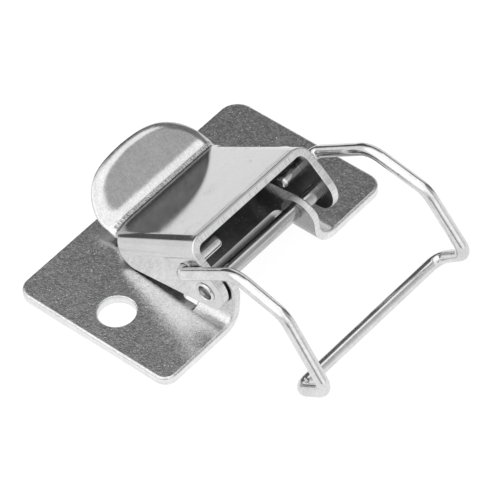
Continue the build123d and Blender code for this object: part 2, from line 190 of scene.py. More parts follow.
NOSE, NOSE_R = to_blank(12.33, 7.32), 3.65
PIN_HOLE = to_blank(12.35, 7.12)
BAIL_HOLE = to_blank(8.32, 9.9)
LIP = (9.15 - CREASE[0]) / WEB_DIR[0]
FRONT = to_blank(10.35, 14.35)
TAB_RIM = [(1.0, 12.7), (2.0, 12.7), (3.0, 12.56), (4.0, 12.28), (5.0, 11.86), (6.0, 11.28), (7.0, 10.51),
           (8.0, 9.46), (8.7, 8.48), (9.3, 7.3), (9.75, 5.95), (10.08, 4.4), (10.3, 2.3)]
ROOT = {
    -1: [(-0.5, 11.9), (0.0, 11.93), (0.5, 12.08), (0.95, 12.33), (1.45, 12.64), (1.85, 13.23), (2.11, 13.87)],
    1: [(-0.5, 13.42), (0.0, 13.4), (0.5, 13.4), (0.95, 13.48), (1.45, 13.62), (1.85, 13.86), (2.15, 14.25)],
}
REAR = [(2.45, 14.7), (2.7, 15.4), (2.81, 16.0), (2.9, 16.64), (3.09, 17.37), (3.58, 18.2), (4.43, 18.93)]


def blank_side(side):
    """Outline of one half, from the lip's middle round the flange to the tab's tip, as (a, |b|)."""
    high = [tangent(NOSE, NOSE_R, FRONT, s) for s in (1, -1)]
    high = max(high, key=lambda q: q[0])
    low = [tangent(NOSE, NOSE_R, REAR[-1], s) for s in (1, -1)]
    low = max(low, key=lambda q: q[1])
    pts = run((LIP, 0), (LIP, HALF_FLAT), 0.8)
    pts += curve_through([(LIP, HALF_FLAT), (LIP + 0.02, 13.2), (LIP + 0.09, 14.4), FRONT], 0.3)[:-1]
    pts += run(FRONT, high)
    t0 = math.atan2(high[1] - NOSE[1], high[0] - NOSE[0])
    t1 = math.atan2(low[1] - NOSE[1], low[0] - NOSE[0])
    if t1 < t0:
        t1 += 2 * math.pi
    n = 40
    pts += [np.array((NOSE[0] + NOSE_R * math.cos(t0 + (t1 - t0) * k / n),
                      NOSE[1] + NOSE_R * math.sin(t0 + (t1 - t0) * k / n))) for k in range(n)]
    pts += run(low, REAR[-1])
    rim = [(-(s + 0.049), w + side * TAB_SHIFT) for s, w in TAB_RIM]
    tail = REAR[::-1] + ROOT[side][::-1] + rim + [(-TAB_END, side * TAB_SHIFT)]
    tail = curve_through(tail, 0.22)
    # extra points where the outline crosses the crease
    out = []
    for p, q in zip(tail[:-1], tail[1:]):
        out.append(p)
        cuts = [c for c in CREASE_COLUMNS if min(p[0], q[0]) + 1e-4 < c < max(p[0], q[0]) - 1e-4]
        for c in sorted(cuts, reverse=p[0] > q[0]):
            out.append(p + (q - p) * (c - p[0]) / (q[0] - p[0]))
    return pts + out


CREASE_COLUMNS = [CREASE_HALF * k for k in (-1, -0.5, 0, 0.5, 1)]
right_half = blank_side(1)
left_half = blank_side(-1)
outline = np.array([(p[0], p[1]) for p in right_half] + [(-TAB_END, TAB_SHIFT)]
                   + [(p[0], -p[1]) for p in left_half[::-1]][:-1])
keep = [0]
for i in range(1, len(outline)):
    if np.linalg.norm(outline[i] - outline[keep[-1]]) > 0.012:
        keep.append(i)
outline = outline[keep]


def hole_ring(centre, radius, side, n=44):
    t = -np.arange(n) * 2 * math.pi / n
    return np.stack((centre[0] + radius * np.cos(t), side * centre[1] + radius * np.sin(t)), -1)


def inward(ring, filled_left):
    """Unit vectors into the material at each point of a closed ring."""
    d = np.roll(ring, -1, 0) - ring
    d /= np.linalg.norm(d, axis=1)[:, None]
    d0 = np.roll(d, 1, 0)
    n = np.stack((-d[:, 1], d[:, 0]), 1) + np.stack((-d0[:, 1], d0[:, 0]), 1)
    n /= np.linalg.norm(n, axis=1)[:, None]
    return n if filled_left else -n


def area(ring):
    x, y = ring[:, 0], ring[:, 1]
    return 0.5 * np.sum(x * np.roll(y, -1) - y * np.roll(x, -1))


if area(outline) < 0:
    outline = outline[::-1]
holes = [hole_ring(c, r, s) for c, r in ((PIN_HOLE, 1.33), (BAIL_HOLE, 1.18)) for s in (-1, 1)]
rings = [outline] + [h if area(h) < 0 else h[::-1] for h in holes]
# With the outline counter-clockwise and the holes clockwise, the material is always on the left.
normals_in = [inward(r, True) for r in rings]


def distance_to(points, ring):
    """Distance of points from a closed polyline."""
    best = np.full(len(points), 1e9)
    q = np.roll(ring, -1, 0)
    for i in range(0, len(ring)):
        v, w = q[i] - ring[i], points - ring[i]
        s = np.clip((w @ v) / max(v @ v, 1e-12), 0, 1)
        best = np.minimum(best, np.hypot(*(w - s[:, None] * v).T))
    return best


def inside(points, all_rings):
    count = np.zeros(len(points), int)
    for ring in all_rings:
        q = np.roll(ring, -1, 0)
        for i in range(len(ring)):
            y0, y1 = ring[i][1], q[i][1]
            if y0 == y1:
                continue
            hit = (y0 > points[:, 1]) != (y1 > points[:, 1])
            x = ring[i][0] + (points[:, 1] - y0) / (y1 - y0) * (q[i][0] - ring[i][0])
            count += hit & (points[:, 0] < x)
    return count % 2 == 1


tab_mask = outline[:, 0] < 3.0
CROWN_SLOPE = math.radians(25)


def crown_width(a, b):
    """How far in from the rim the tab's skin starts to fall: most at the -Y side near the crease."""
    a, b = np.asarray(a, float), np.asarray(b, float)
    left = np.clip((-b + 1.0) / 10.0, 0, 1)
    near = np.clip((a + 7.0) / 5.5, 0, 1)
    return 1.6 + 0.8 * left + 1.4 * left * near


def tab_share(a):
    """1 on the tab, fading to 0 just beyond the crease."""
    k = np.clip((1.3 - np.asarray(a, float)) / 1.7, 0, 1)
    return k * k * (3 - 2 * k)


def roll_top(a):
    return 0.3 + 0.1 * tab_share(a)


def crown(a, b):
    """Drop of the tab's skin towards its rim."""
    a, b = np.broadcast_arrays(np.asarray(a, float), np.asarray(b, float))
    flat = np.stack((a.ravel(), b.ravel()), 1)
    out = np.zeros(len(flat))
    on = flat[:, 0] < 1.3
    if on.any():
        d = open_distance(flat[on], tab_rim_open)
        start = 0.4 * (1 - math.sin(CROWN_SLOPE))
        w = crown_width(flat[on][:, 0], flat[on][:, 1])
        x = np.clip(w - (d - start), 0, w)
        out[on] = x * x / (2 * w) * math.tan(CROWN_SLOPE) * tab_share(flat[on][:, 0])
    return out.reshape(a.shape)


def open_distance(points, line):
    best = np.full(len(points), 1e9)
    for p, q in zip(line[:-1], line[1:]):
        v, w = q - p, points - p
        s = np.clip((w @ v) / max(v @ v, 1e-12), 0, 1)
        best = np.minimum(best, np.hypot(*(w - s[:, None] * v).T))
    return best


# The tab's rim as one open line, from its root at +Y round to its root at -Y.
i0 = int(np.argmin(np.abs(outline[:, 0] - 1.5) + (outline[:, 1] < 0) * 100 + (np.abs(outline[:, 1]) > 14) * 100))
order = np.roll(np.arange(len(outline)), -i0)
line = outline[order]
stop = int(np.argmax((line[:, 0] > 1.5) & (line[:, 1] < 0)))
tab_rim_open = line[:stop + 1] if line[5, 0] < line[0, 0] else None
if tab_rim_open is None:
    line = line[::-1]
    stop = int(np.argmax((line[:, 0] > 1.5) & (line[:, 1] < 0)))
    tab_rim_open = line[:stop + 1]


def no_drop(a, b):
    return np.zeros(np.broadcast(np.asarray(a), np.asarray(b)).shape)


def lever_mesh():
    ring_steps = []
    # (roll part, wall part): top roll, then wall, then lower roll
    for k in range(6):
        ring_steps.append(("top", k / 5))
    ring_steps.append(("wall", 0.5))
    for k in range(4):
        ring_steps.append(("low", k / 3))
    low_r = 0.13
    verts, norms, uvs = [], [], []
    ring_index = []
    for ring, n_in in zip(rings, normals_in):
        length = np.concatenate(([0], np.cumsum(np.linalg.norm(np.roll(ring, -1, 0) - ring, axis=1))))[:-1]
        levels = []
        r1 = roll_top(ring[:, 0])
        share = tab_share(ring[:, 0]) if ring is rings[0] else np.zeros(len(ring))
        if ring is not rings[0]:
            r1 = np.full(len(ring), 0.16)
        sigma = CROWN_SLOPE * share
        c = crown_width(ring[:, 0], ring[:, 1]) / 2 * np.tan(CROWN_SLOPE) * share
        low = low_r + 0.2 * share
        for kind, f in ring_steps:
            if kind == "top":
                phi = sigma + (math.pi / 2 - sigma) * f
                inset, depth = r1 * (1 - np.sin(phi)), c + r1 * (np.cos(sigma) - np.cos(phi))
            elif kind == "wall":
                phi = np.full(len(ring), math.pi / 2)
                inset, depth = np.zeros(len(ring)), (c + r1 * np.cos(sigma) + SHEET - low) / 2
            else:
                phi = math.pi / 2 * (1 + np.full(len(ring), f))
                inset, depth = low * (1 - np.sin(phi)), SHEET - low - low * np.cos(phi)
            p = ring + n_in * inset[:, None]
            xyz = fold(p[:, 0], p[:, 1], depth)
            ea, eb, en = frame_at(p[:, 0], p[:, 1], np.zeros(len(p)), no_drop)
            out = -(n_in[:, :1] * ea + n_in[:, 1:] * eb)
            nn = np.sin(phi)[:, None] * out + np.cos(phi)[:, None] * en
            levels.append(range(len(verts), len(verts) + len(ring)))
            verts.extend(xyz)
            norms.extend(nn)
            uvs.extend(np.stack((length + 40, depth), 1))
        ring_index.append(levels)
    faces, mats = [], []
    for ring, levels in zip(rings, ring_index):
        m = len(ring)
        for lvl, (upper, lower) in enumerate(zip(levels[:-1], levels[1:])):
            for i in range(m):
                j = (i + 1) % m
                faces.append((upper[i], lower[i], lower[j], upper[j]))
                if lvl < 5:
                    mats.append(1 if ring is rings[0] and ring[i][0] < -0.15 else 0)
                else:
                    mats.append(2)
    # Skins
    a_lines = sorted(set(
        [-CREASE_HALF - FOOT_LEN * k / 16 for k in range(17)] + CREASE_COLUMNS
        + [0.12, 0.25, 0.45, 0.7, 1.0, 1.3, 1.6, 2.0, 2.6, 3.4] + [4.4 + 1.2 * k for k in range(15)]
        + [-CREASE_HALF - FOOT_LEN - 0.35 * k for k in range(1, 22)]
    ))
    b_abs = [0.0] + [0.464 * k for k in range(1, 26)] + [HALF_FLAT + BEND_LEN * k / 16 for k in range(17)] \
        + [17.2, 18.4, 19.6, 20.8, 22.0, 23.2, 24.4, 25.4]
    b_lines = sorted(set([-v for v in b_abs] + b_abs))
    grid = np.array([(a, b) for a in a_lines for b in b_lines])
    for face_kind in ("top", "low"):
        if face_kind == "top":
            loops = [np.array([ring + n * (roll_top(ring[:, 0]) * (1 - np.sin(CROWN_SLOPE * tab_share(ring[:, 0]))))[:, None]
                               if ring is rings[0] else ring + n * 0.16])[0]
                     for ring, n in zip(rings, normals_in)]
            level = 0
        else:
            loops = [ring + n * (low_r + (0.2 * tab_share(ring[:, 0]) if ring is rings[0] else 0.0))[:, None]
                     if ring is rings[0] else ring + n * low_r for ring, n in zip(rings, normals_in)]
            level = len(ring_steps) - 1
        pts = grid[inside(grid, loops)]
        extra = []
        if face_kind == "top":
            for k in range(1, 18):
                d = 0.26 + 0.26 * k
                ringk = tab_inset(d)
                if len(ringk):
                    extra.append(ringk)
            pts = pts[(pts[:, 0] > -4.2) | (open_distance(pts, tab_rim_open) > 4.8)]
            pts = np.concatenate([pts] + extra)
            pts = pts[inside(pts, loops)]
        clear = np.full(len(pts), 1e9)
        for loop in loops:
            clear = np.minimum(clear, distance_to(pts, loop))
        pts = pts[clear > 0.1]
        if face_kind == "top":
            # sort the points by a, then by b
            order_ = np.lexsort((pts[:, 1].round(3), pts[:, 0].round(3)))
            pts = pts[order_]
        flat, edges, owner = [], [], []
        for loop, levels in zip(loops, ring_index):
            base = len(flat)
            flat.extend(Vector(p) for p in loop)
            owner.extend(levels[level])
            edges.extend((base + i, base + (i + 1) % len(loop)) for i in range(len(loop)))
        first = len(flat)
        flat.extend(Vector(p) for p in pts)
        # Lines along the crease and the foot stay whole.
        lookup = {}
        for i, p in enumerate(pts):
            lookup.setdefault(round(float(p[0]), 5), []).append((p[1], first + i))
        for c in CREASE_COLUMNS + [-CREASE_HALF - FOOT_LEN * k / 16 for k in range(1, 17)]:
            row = sorted(lookup.get(round(float(c), 5), []))
            edges.extend((u[1], v[1]) for u, v in zip(row[:-1], row[1:]))
        made = delaunay_2d_cdt(flat, edges, [], 0, 1e-7, True)
        out_pts, out_faces, origin = made[0], made[2], made[3]
        drop = crown if face_kind == "top" else no_drop
        depth0 = 0.0 if face_kind == "top" else SHEET
        table = {}
        fresh = [i for i in range(len(out_pts)) if not any(o < first for o in origin[i])]
        co = np.array([out_pts[i][:] for i in fresh])
        xyz = fold(co[:, 0], co[:, 1], depth0 + drop(co[:, 0], co[:, 1]))
        _, _, en = frame_at(co[:, 0], co[:, 1], np.full(len(co), depth0), drop)
        if face_kind == "low":
            en = -en
        for i, p, n, q in zip(fresh, xyz, en, co):
            table[i] = len(verts)
            verts.append(p)
            norms.append(n)
            uvs.append(q)
        for i in range(len(out_pts)):
            if i not in table:
                table[i] = owner[min(o for o in origin[i] if o < first)]
        mid = np.array([sum((np.array(out_pts[v][:]) for v in f), np.zeros(2)) / len(f) for f in out_faces])
        good = inside(mid, loops)
        for f, ok, c in zip(out_faces, good, mid):
            if not ok:
                continue
            idx = [table[v] for v in f]
            if face_kind == "low":
                idx = idx[::-1]
            faces.append(tuple(idx))
            mats.append((1 if c[0] < -CREASE_HALF else 0) if face_kind == "top" else 3)
    return np.array(verts), np.array(norms), np.array(uvs), faces, mats


def tab_inset(d):
    """Points of the tab's rim moved inwards by d, where the tab is wide enough."""
    ring, n = rings[0], normals_in[0]
    pts = ring + n * d
    on = (ring[:, 0] < -4.0) & (pts[:, 0] < -4.1)
    pts = pts[on]
    if len(pts) == 0:
        return pts
    pts = pts[::2]
    ok = np.abs(open_distance(pts, tab_rim_open) - d) < 0.03
    return pts[ok]


lever_v, lever_n, lever_uv, lever_f, lever_m = lever_mesh()


def make_piece(name, verts, norms, faces, mats, materials, uvs=None):
    mesh = bpy.data.meshes.new(name)
    mesh.from_pydata([tuple(v) for v in verts * MM], [], faces)
    for m in materials:
        mesh.materials.append(m)
    mesh.polygons.foreach_set("material_index", np.array(mats, np.int32))
    mesh.polygons.foreach_set("use_smooth", np.ones(len(faces), bool))
    if uvs is not None:
        layer = mesh.uv_layers.new(name="UVMap")
        loops = np.zeros(len(mesh.loops), np.int32)
        mesh.loops.foreach_get("vertex_index", loops)
        layer.data.foreach_set("uv", (uvs[loops] / 100.0).astype(np.float32).ravel())
    mesh.validate()
    mesh.update()
    mesh.normals_split_custom_set_from_vertices([tuple(n) for n in norms])
    obj = bpy.data.objects.new(name, mesh)
    scene.collection.objects.link(obj)
    return obj


# ------------------------------------------------------------------ world and lights
def studio_world():
    """Soft studio surround: pale low down, grey at the far side, bright overhead and on the camera's left."""
    world = bpy.data.worlds.new("studio")
    scene.world = world
    world.use_nodes = True
    nt = world.node_tree
    nt.nodes.clear()
    out = nt.nodes.new("ShaderNodeOutputWorld")
    bg = nt.nodes.new("ShaderNodeBackground")
    nt.links.new(bg.outputs[0], out.inputs[0])
    tc = nt.nodes.new("ShaderNodeTexCoord")
    direction = nt.nodes.new("ShaderNodeVectorMath")
    direction.operation = "NORMALIZE"
    nt.links.new(tc.outputs["Generated"], direction.inputs[0])

    def lobe(axis, painted_shade_inner_ears, outer):
        """1 inside the cone of angle inner about axis, 0 outside outer, in degrees."""
        dot = nt.nodes.new("ShaderNodeVectorMath")
        dot.operation = "DOT_PRODUCT"
        nt.links.new(direction.outputs[0], dot.inputs[0])
        dot.inputs[1].default_value = Vector(axis).normalized()
        ramp = nt.nodes.new("ShaderNodeMapRange")
        ramp.interpolation_type = "SMOOTHSTEP"
        ramp.inputs["From Min"].default_value = math.cos(math.radians(outer))
        ramp.inputs["From Max"].default_value = math.cos(math.radians(painted_shade_inner_ears))
        nt.links.new(dot.outputs["Value"], ramp.inputs["Value"])
        return ramp.outputs[0]

    def mix(factor, a, b):
        m = nt.nodes.new("ShaderNodeMix")
        m.data_type = "FLOAT"
        nt.links.new(factor, m.inputs[0])
        if isinstance(a, (int, float)):
            m.inputs[2].default_value = a
        else:
            nt.links.new(a, m.inputs[2])
        if isinstance(b, (int, float)):
            m.inputs[3].default_value = b
        else:
            nt.links.new(b, m.inputs[3])
        return m.outputs[0]

    def rise(low, high):
        """0 below low and 1 above high along +Y of the direction."""
        part = nt.nodes.new("ShaderNodeSeparateXYZ")
        nt.links.new(direction.outputs[0], part.inputs[0])
        ramp = nt.nodes.new("ShaderNodeMapRange")
        ramp.interpolation_type = "SMOOTHSTEP"
        ramp.inputs["From Min"].default_value = low
        ramp.inputs["From Max"].default_value = high
        nt.links.new(part.outputs[1], ramp.inputs["Value"])
        return ramp.outputs[0]

    def both(p, q):
        m = nt.nodes.new("ShaderNodeMath")
        m.operation = "MULTIPLY"
        nt.links.new(p, m.inputs[0])
        nt.links.new(q, m.inputs[1])
        return m.outputs[0]

    far = rise(0.26, 0.42)
    value = mix(lobe((-0.30, -0.55, 0.70), 22, 46), 1.0, 1.7)        # key, from the camera's left
    value = mix(lobe((0.50, -0.12, 0.85), 18, 36), value, 1.45)      # its spill overhead
    value = mix(both(lobe((-0.30, 0.75, 0.45), 38, 52), far), value, 0.22)      # grey far side
    value = mix(lobe((-0.80, 0.60, 0.15), 35, 41), value, 0.11)      # dark low down behind the plate
    value = mix(lobe((0.55, -0.80, 0.02), 10, 24), value, 0.42)      # grey flags either side of the camera
    value = mix(lobe((0.84, 0.47, 0.27), 7, 17), value, 0.78)
    value = mix(lobe((0.95, -0.20, 0.31), 8, 22), value, 1.30)
    value = mix(lobe((-0.45, 0.87, 0.18), 20, 27), value, 0.95)      # lit wall straight behind
    value = mix(lobe((0.55, 0.42, 0.72), 12, 26), value, 0.55)       # lighter grey to the far right
    value = mix(lobe((-0.02, 0.47, 0.88), 8, 15), value, 1.35)       # softbox overhead
    value = mix(lobe((0.00, 0.22, 0.97), 8, 18), value, 1.45)
    nt.links.new(value, bg.inputs["Strength"])
    bg.inputs["Color"].default_value = (1, 1, 1, 1)
    return world


studio_world()


# ------------------------------------------------------------------ floor
def floor():
    mesh = bpy.data.meshes.new("floor")
    s = 0.3
    mesh.from_pydata([(-s, -s, 0), (s, -s, 0), (s, s, 0), (-s, s, 0)], [], [(0, 1, 2, 3)])
    obj = bpy.data.objects.new("floor", mesh)
    scene.collection.objects.link(obj)
    mat = bpy.data.materials.new("floor_white")
    mat.use_nodes = True
    nt = mat.node_tree
    nt.nodes.clear()
    out = nt.nodes.new("ShaderNodeOutputMaterial")
    diffuse = nt.nodes.new("ShaderNodeBsdfDiffuse")
    diffuse.inputs["Color"].default_value = (0.14, 0.14, 0.14, 1)
    glow = nt.nodes.new("ShaderNodeEmission")
    add = nt.nodes.new("ShaderNodeAddShader")
    nt.links.new(diffuse.outputs[0], add.inputs[0])
    nt.links.new(glow.outputs[0], add.inputs[1])
    nt.links.new(add.outputs[0], out.inputs[0])
    # The paper glows softly and evenly; in a box right under the latch the glow is switched off, a painted shadow
    # there.
    tc = nt.nodes.new("ShaderNodeTexCoord")
    sep = nt.nodes.new("ShaderNodeSeparateXYZ")
    nt.links.new(tc.outputs["Object"], sep.inputs[0])

    def window(source, low, high, soft):
        rise = nt.nodes.new("ShaderNodeMapRange")
        rise.inputs["From Min"].default_value = low - soft
        rise.inputs["From Max"].default_value = low + soft
        nt.links.new(source, rise.inputs["Value"])
        fall = nt.nodes.new("ShaderNodeMapRange")
        fall.inputs["From Min"].default_value = high + soft
        fall.inputs["From Max"].default_value = high - soft
        nt.links.new(source, fall.inputs["Value"])
        both = nt.nodes.new("ShaderNodeMath")
        both.operation = "MULTIPLY"
        nt.links.new(rise.outputs[0], both.inputs[0])
        nt.links.new(fall.outputs[0], both.inputs[1])
        return both.outputs[0]

    # painted shadow: glow strength falls from 0.93 to 0 inside this box under the latch
    under = nt.nodes.new("ShaderNodeMath")
    under.operation = "MULTIPLY"
    nt.links.new(window(sep.outputs[0], -0.016, 0.0072, 0.0008), under.inputs[0])
    nt.links.new(window(sep.outputs[1], -0.0099, 0.0115, 0.0003), under.inputs[1])
    level = nt.nodes.new("ShaderNodeMapRange")
    level.inputs["To Min"].default_value = 0.93
    level.inputs["To Max"].default_value = 0.0
    nt.links.new(under.outputs[0], level.inputs["Value"])
    nt.links.new(level.outputs[0], glow.inputs["Strength"])
    mesh.materials.append(mat)
    obj.location = (0, 0, -0.00002)
    return obj


floor()


# ------------------------------------------------------------------ materials
class Steel:
    """One bare steel surface: nodes for tone, roughness and fine relief, all from the object's own coordinates."""

    def __init__(self, name):
        self.mat = bpy.data.materials.new(name)
        self.mat.use_nodes = True
        self.nt = self.mat.node_tree
        self.shader = self.nt.nodes["Principled BSDF"]
        self.shader.inputs["Metallic"].default_value = 1.0
        self.coord = self.nt.nodes.new("ShaderNodeTexCoord")
        self.here = self.coord.outputs["Object"]
        self.blank = self.coord.outputs["UV"]
        self.geometry = None

    def put(self, value, socket):
        if isinstance(value, (int, float)):
            socket.default_value = value
        elif isinstance(value, tuple):
            socket.default_value = value
        else:
            self.nt.links.new(value, socket)

    def calc(self, op, a, b=None, c=None, clamp=False):
        node = self.nt.nodes.new("ShaderNodeMath")
        node.operation = op
        node.use_clamp = clamp
        for value, socket in zip((a, b, c), node.inputs):
            if value is not None:
                self.put(value, socket)
        return node.outputs[0]

    def vec(self, op, a, b=None, c=None):
        node = self.nt.nodes.new("ShaderNodeVectorMath")
        node.operation = op
        for value, socket in zip((a, b, c), node.inputs):
            if value is not None:
                self.put(value, socket)
        return node.outputs["Value"] if op in ("DOT_PRODUCT", "LENGTH", "DISTANCE") else node.outputs[0]

    def split(self, vector):
        node = self.nt.nodes.new("ShaderNodeSeparateXYZ")
        self.put(vector, node.inputs[0])
        return node.outputs[0], node.outputs[1], node.outputs[2]

    def turn(self, vector, scale=(1, 1, 1), rotation=(0, 0, 0), shift=(0, 0, 0)):
        node = self.nt.nodes.new("ShaderNodeMapping")
        self.put(vector, node.inputs["Vector"])
        node.inputs["Scale"].default_value = scale
        node.inputs["Rotation"].default_value = [math.radians(v) for v in rotation]
        node.inputs["Location"].default_value = shift
        return node.outputs[0]

    def noise(self, vector, scale, detail=2.0, rough=0.5, bend=0.0):
        node = self.nt.nodes.new("ShaderNodeTexNoise")
        self.put(vector, node.inputs["Vector"])
        node.inputs["Scale"].default_value = scale
        node.inputs["Detail"].default_value = detail
        node.inputs["Roughness"].default_value = rough
        node.inputs["Distortion"].default_value = bend
        return node.outputs[0]

    def cells(self, vector, scale, jitter=1.0):
        node = self.nt.nodes.new("ShaderNodeTexVoronoi")
        self.put(vector, node.inputs["Vector"])
        node.inputs["Scale"].default_value = scale
        node.inputs["Randomness"].default_value = jitter
        return node.outputs["Distance"]

    def span(self, value, low, high, to_low=0.0, to_high=1.0, smooth=True):
        node = self.nt.nodes.new("ShaderNodeMapRange")
        if smooth:
            node.interpolation_type = "SMOOTHSTEP"
        self.put(value, node.inputs["Value"])
        node.inputs["From Min"].default_value = low
        node.inputs["From Max"].default_value = high
        node.inputs["To Min"].default_value = to_low
        node.inputs["To Max"].default_value = to_high
        return node.outputs[0]

    def band(self, value, low, high, soft):
        """1 between low and high, with soft ends."""
        return self.calc("MULTIPLY", self.span(value, low - soft, low + soft),
                         self.span(value, high + soft, high - soft))

    def blend(self, factor, a, b):
        node = self.nt.nodes.new("ShaderNodeMix")
        node.data_type = "FLOAT"
        self.put(factor, node.inputs[0])
        self.put(a, node.inputs[2])
        self.put(b, node.inputs[3])
        return node.outputs[0]

    def hairlines(self, vector, count, angles, thin=0.012, gate=0.62, seed=0.0):
        """Sparse fine scratches: thin stretched noise ridges, kept only where a coarse noise passes the gate."""
        total = None
        for i, angle in enumerate(angles):
            lines = self.turn(vector, (count, count * 0.06, count), (0, 0, angle), (seed + 7.3 * i, seed + 1.7 * i, 0))
            ridge = self.noise(lines, 1.0, 0.0, 0.5, 0.6)
            ridge = self.calc("ABSOLUTE", self.calc("SUBTRACT", ridge, 0.5))
            ridge = self.span(ridge, thin, 0.0)
            there = self.noise(self.turn(vector, (1, 1, 1), (0, 0, 0), (0.01 * i + 0.013 * seed, 0.02, 0.03 * i)), count * 0.16, 1.0)
            ridge = self.calc("MULTIPLY", ridge, self.span(there, gate, gate + 0.05))
            total = ridge if total is None else self.calc("MAXIMUM", total, ridge)
        return total

    def relief(self, height, distance, strength=1.0, normal=None):
        node = self.nt.nodes.new("ShaderNodeBump")
        self.put(height, node.inputs["Height"])
        node.inputs["Distance"].default_value = distance
        node.inputs["Strength"].default_value = strength
        if normal is not None:
            self.nt.links.new(normal, node.inputs["Normal"])
        return node.outputs[0]

    def facing(self):
        """Surface normal in the object's own axes."""
        if self.geometry is None:
            self.geometry = self.nt.nodes.new("ShaderNodeNewGeometry")
        node = self.nt.nodes.new("ShaderNodeVectorTransform")
        node.vector_type = "NORMAL"
        node.convert_from = "WORLD"
        node.convert_to = "OBJECT"
        self.nt.links.new(self.geometry.outputs["Normal"], node.inputs[0])
        return node.outputs[0]

    def finish(self, tone, rough, normal=None, tint=(1.0, 1.0, 1.0)):
        join = self.nt.nodes.new("ShaderNodeCombineColor")
        for k in range(3):
            if tint[k] == 1.0:
                self.put(tone, join.inputs[k])
            else:
                self.put(self.calc("MULTIPLY", tone, tint[k]), join.inputs[k])
        self.nt.links.new(join.outputs[0], self.shader.inputs["Base Color"])
        self.put(rough, self.shader.inputs["Roughness"])
        if normal is not None:
            self.nt.links.new(normal, self.shader.inputs["Normal"])
        return self.mat


def plate_steel():
    """Tumbled cold-rolled sheet: fine bright grain on the flat skin, smooth along the bends and on the cut edges."""
    s = Steel("plate_steel")
    x, y, z = s.split(s.here)
    nx, ny, nz = s.split(s.facing())
    fine = s.noise(s.here, 5200, 1.0, 0.6)
    mid = s.noise(s.here, 2300, 1.0, 0.6, 0.3)
    cloud = s.noise(s.here, 150, 2.0, 0.5)
    grain = s.calc("ADD", s.calc("MULTIPLY", fine, 0.6), s.calc("MULTIPLY", mid, 0.4))
    low = s.span(z, 0.0019, 0.0016)
    upright = s.calc("SUBTRACT", 1.0, low)
    wall = s.calc("MULTIPLY", low, s.span(s.calc("ABSOLUTE", nz), 0.45, 0.2))
    rim = s.calc("MULTIPLY", upright, s.span(s.calc("ABSOLUTE", ny), 0.45, 0.2))
    cut = s.calc("MAXIMUM", wall, rim)
    flat = s.calc("MULTIPLY", s.span(nz, 0.90, 0.99), low)
    # shear lines that follow the sheet round its outline
    lines = s.noise(s.turn(s.here, (60, 60, 5200)), 1.0, 2.0, 0.5)
    streak = s.noise(s.turn(s.here, (1300, 1300, 150)), 1.0, 2.0, 0.6)
    gate = s.noise(s.here, 330, 1.0)
    specks = s.calc("MULTIPLY", s.span(s.cells(s.here, 1500), 0.20, 0.06), s.span(gate, 0.48, 0.60))
    scratch = s.calc("MULTIPLY", s.hairlines(s.here, 900, (20, 75, 140), 0.012, 0.66), flat)
    dots = s.calc("MULTIPLY", specks, flat)
    tone = s.span(grain, 0.37, 0.63, 0.52, 0.77, smooth=False)
    tone = s.calc("MULTIPLY", tone, s.span(cloud, 0.3, 0.7, 0.95, 1.05))
    tone = s.calc("ADD", tone, s.calc("MULTIPLY", dots, 0.22), clamp=True)
    tone = s.calc("ADD", tone, s.calc("MULTIPLY", scratch, 0.10), clamp=True)
    tone = s.calc("MULTIPLY", tone, s.span(flat, 0.0, 1.0, 0.88, 1.0))
    sheared = s.calc("ADD", s.span(streak, 0.3, 0.7, 0.75, 0.81), s.span(lines, 0.35, 0.65, -0.06, 0.06))
    tone = s.blend(cut, tone, sheared)
    skin_rough = s.calc("ADD", s.span(mid, 0.3, 0.7, 0.14, 0.22), s.calc("MULTIPLY", dots, 0.3))
    skin_rough = s.calc("ADD", skin_rough, s.span(flat, 0.0, 1.0, 0.12, 0.0))
    rough = s.blend(wall, s.blend(rim, skin_rough, 0.68), 0.46)
    # painted shade: the ears' inner faces, under the lever, are darkened to 0.58 of their tone
    painted_shade_inner_ears = s.calc("MULTIPLY", s.calc("MULTIPLY", upright, s.span(s.calc("ABSOLUTE", ny), 0.5, 0.8)), s.span(s.calc("ABSOLUTE", y), 0.0103, 0.0100))
    tone = s.calc("MULTIPLY", tone, s.span(painted_shade_inner_ears, 0.0, 1.0, 1.0, 0.58))
    height = s.calc("MULTIPLY", grain, s.span(flat, 0.0, 1.0, 0.16, 1.0))
    normal = s.relief(height, 0.000065, 0.62)
    normal = s.relief(scratch, 0.00001, 0.4, normal)
    return s.finish(tone, rough, normal)


def lever_skin():
    """Bright drawn skin of the web and flanges, with faint clouding and a few hairlines."""
    s = Steel("lever_skin")
    u, v, _ = s.split(s.blank)
    a = s.calc("MULTIPLY", u, 100.0)
    b = s.calc("MULTIPLY", v, 100.0)
    cloud = s.noise(s.here, 160, 3.0, 0.55)
    drawn = s.noise(s.turn(s.blank, (14, 90, 1)), 4.0, 3.0, 0.6)
    fine = s.noise(s.here, 3000, 1.0, 0.5)
    scratch = s.hairlines(s.blank, 160, (8, -30, 70), 0.012, 0.66, 3.0)
    tone = s.span(cloud, 0.3, 0.7, 0.575, 0.61)
    tone = s.calc("MULTIPLY", tone, s.span(drawn, 0.3, 0.7, 0.975, 1.02))
    tone = s.calc("MULTIPLY", tone, s.span(fine, 0.3, 0.7, 0.98, 1.02))
    tone = s.calc("SUBTRACT", tone, s.calc("MULTIPLY", scratch, 0.10))
    # painted highlight: a light line just in front of the crease; painted shade: dark in the crease itself
    line = s.band(a, 0.2, 0.85, 0.12)
    tone = s.calc("ADD", tone, s.calc("MULTIPLY", line, 0.3), clamp=True)
    painted_crease_shade = s.span(s.calc("ABSOLUTE", s.calc("ADD", a, 0.02)), 0.13, 0.05)
    tone = s.calc("MULTIPLY", tone, s.span(painted_crease_shade, 0.0, 1.0, 1.0, 0.38))
    rough = s.calc("ADD", s.span(cloud, 0.3, 0.7, 0.07, 0.11), s.calc("MULTIPLY", line, 0.25))
    normal = s.relief(drawn, 0.00002, 0.25)
    normal = s.relief(scratch, 0.00001, 0.4, normal)
    return s.finish(tone, rough, normal)


